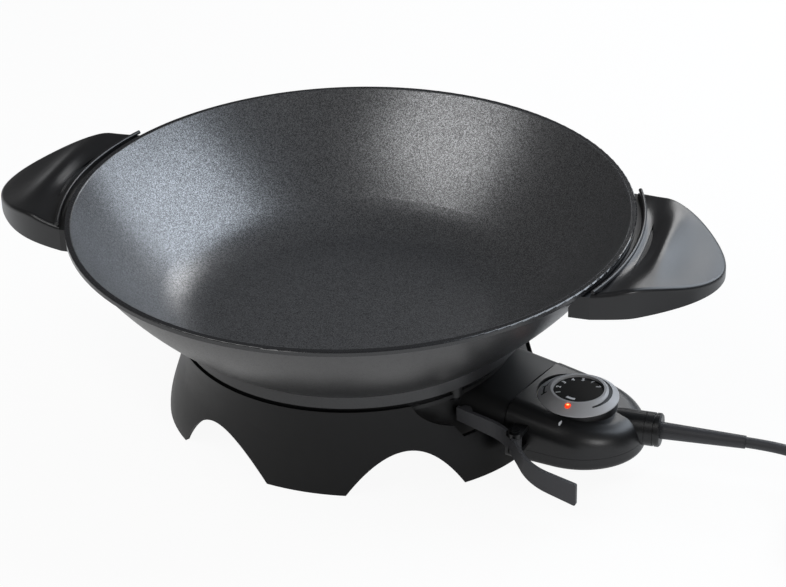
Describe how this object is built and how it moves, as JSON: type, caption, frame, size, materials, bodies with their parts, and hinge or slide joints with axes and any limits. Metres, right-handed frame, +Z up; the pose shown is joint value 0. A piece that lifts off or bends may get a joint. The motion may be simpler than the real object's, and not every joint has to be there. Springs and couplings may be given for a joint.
{
  "type": "electric wok",
  "caption": "Electric wok: coated cast pan with moulded side handles on an arched skirt, heated from below, with a pull-out thermostat plug, release lever and mains lead.",
  "frame": {"origin": "on the table under the centre of the pan", "axes": "+Z up, +X to the right-hand handle, -Y to the front, where the release lever is"},
  "size_m": [0.7105, 0.37, 0.1514],
  "materials": {
    "nonstick_coating": "dark grey non-stick coating with a very fine speckle, satin",
    "handle_phenolic": "black moulded phenolic, satin",
    "skirt_phenolic": "black moulded phenolic, satin",
    "guard_phenolic": "black moulded phenolic, matt",
    "housing_plastic": "black moulded plastic, satin",
    "lever_plastic": "charcoal moulded plastic, matt",
    "knob_plastic": "silver-grey moulded plastic, satin",
    "dial_plastic": "black moulded plastic with white printed numbers",
    "lens_orange": "clear orange moulded plastic, lit",
    "lamp_glass": "neon lamp",
    "ceramic": "unglazed ceramic insulator",
    "contact_brass": "bare brass contact",
    "steel": "bare steel",
    "aluminised_steel": "pressed aluminised steel sheet",
    "zinc_screws": "zinc-plated steel",
    "cord_rubber": "black rubber and PVC"
  },
  "bodies": {
    "wok": {"pan": "nonstick_coating", "heating_element": "steel", "element_clamp": "steel", "heat_shield": "aluminised_steel", "terminal_block": "ceramic", "live_pin": "contact_brass", "neutral_pin": "contact_brass", "sensor_tube": "steel", "earth_strip": "steel", "base_skirt": "skirt_phenolic", "skirt_screws": "zinc_screws", "plug_guard": "guard_phenolic", "guard_screws": "zinc_screws", "handle_left": "handle_phenolic", "handle_right": "handle_phenolic", "handle_screws": "zinc_screws"},
    "control_plug": {"upper_shell": "housing_plastic", "lower_shell": "housing_plastic", "shell_screws": "zinc_screws", "contact_insulator": "ceramic", "live_socket": "contact_brass", "neutral_socket": "contact_brass", "sensor_probe": "steel", "thermostat_block": "ceramic", "bimetal_strip": "steel", "contact_leaf": "contact_brass", "neon_lamp": "lamp_glass", "lever_pin": "steel", "cord_collar": "cord_rubber", "strain_relief": "cord_rubber", "mains_cord": "cord_rubber", "cord_coil": "cord_rubber", "cord_tie": "cord_rubber", "cord_tail": "cord_rubber", "mains_plug": "cord_rubber", "mains_plug_pins": "contact_brass"},
    "control_knob": {"knob_ring": "knob_plastic", "knob_disc": "dial_plastic", "pilot_lens": "lens_orange", "knob_shaft": "steel"},
    "release_lever": {"release_lever": "lever_plastic"}
  },
  "joints": [
    {"name": "plug_slide", "type": "slide", "parent": "wok", "child": "control_plug", "axis": [0.9848, -0.1736, 0], "range_m": [0, 0.12]},
    {"name": "knob_turn", "type": "hinge", "parent": "control_plug", "child": "control_knob", "pos_m": [0.15954, -0.02813, 0.0478], "axis": [0, 0, 1], "range_deg": [-290, 0]},
    {"name": "lever_press", "type": "hinge", "parent": "control_plug", "child": "release_lever", "pos_m": [0.12855, -0.07141, 0.035], "axis": [0, 0, 1], "range_deg": [0, 8], "stiffness_Nm_per_rad": 0.8, "springref_deg": -5.73}
  ]
}
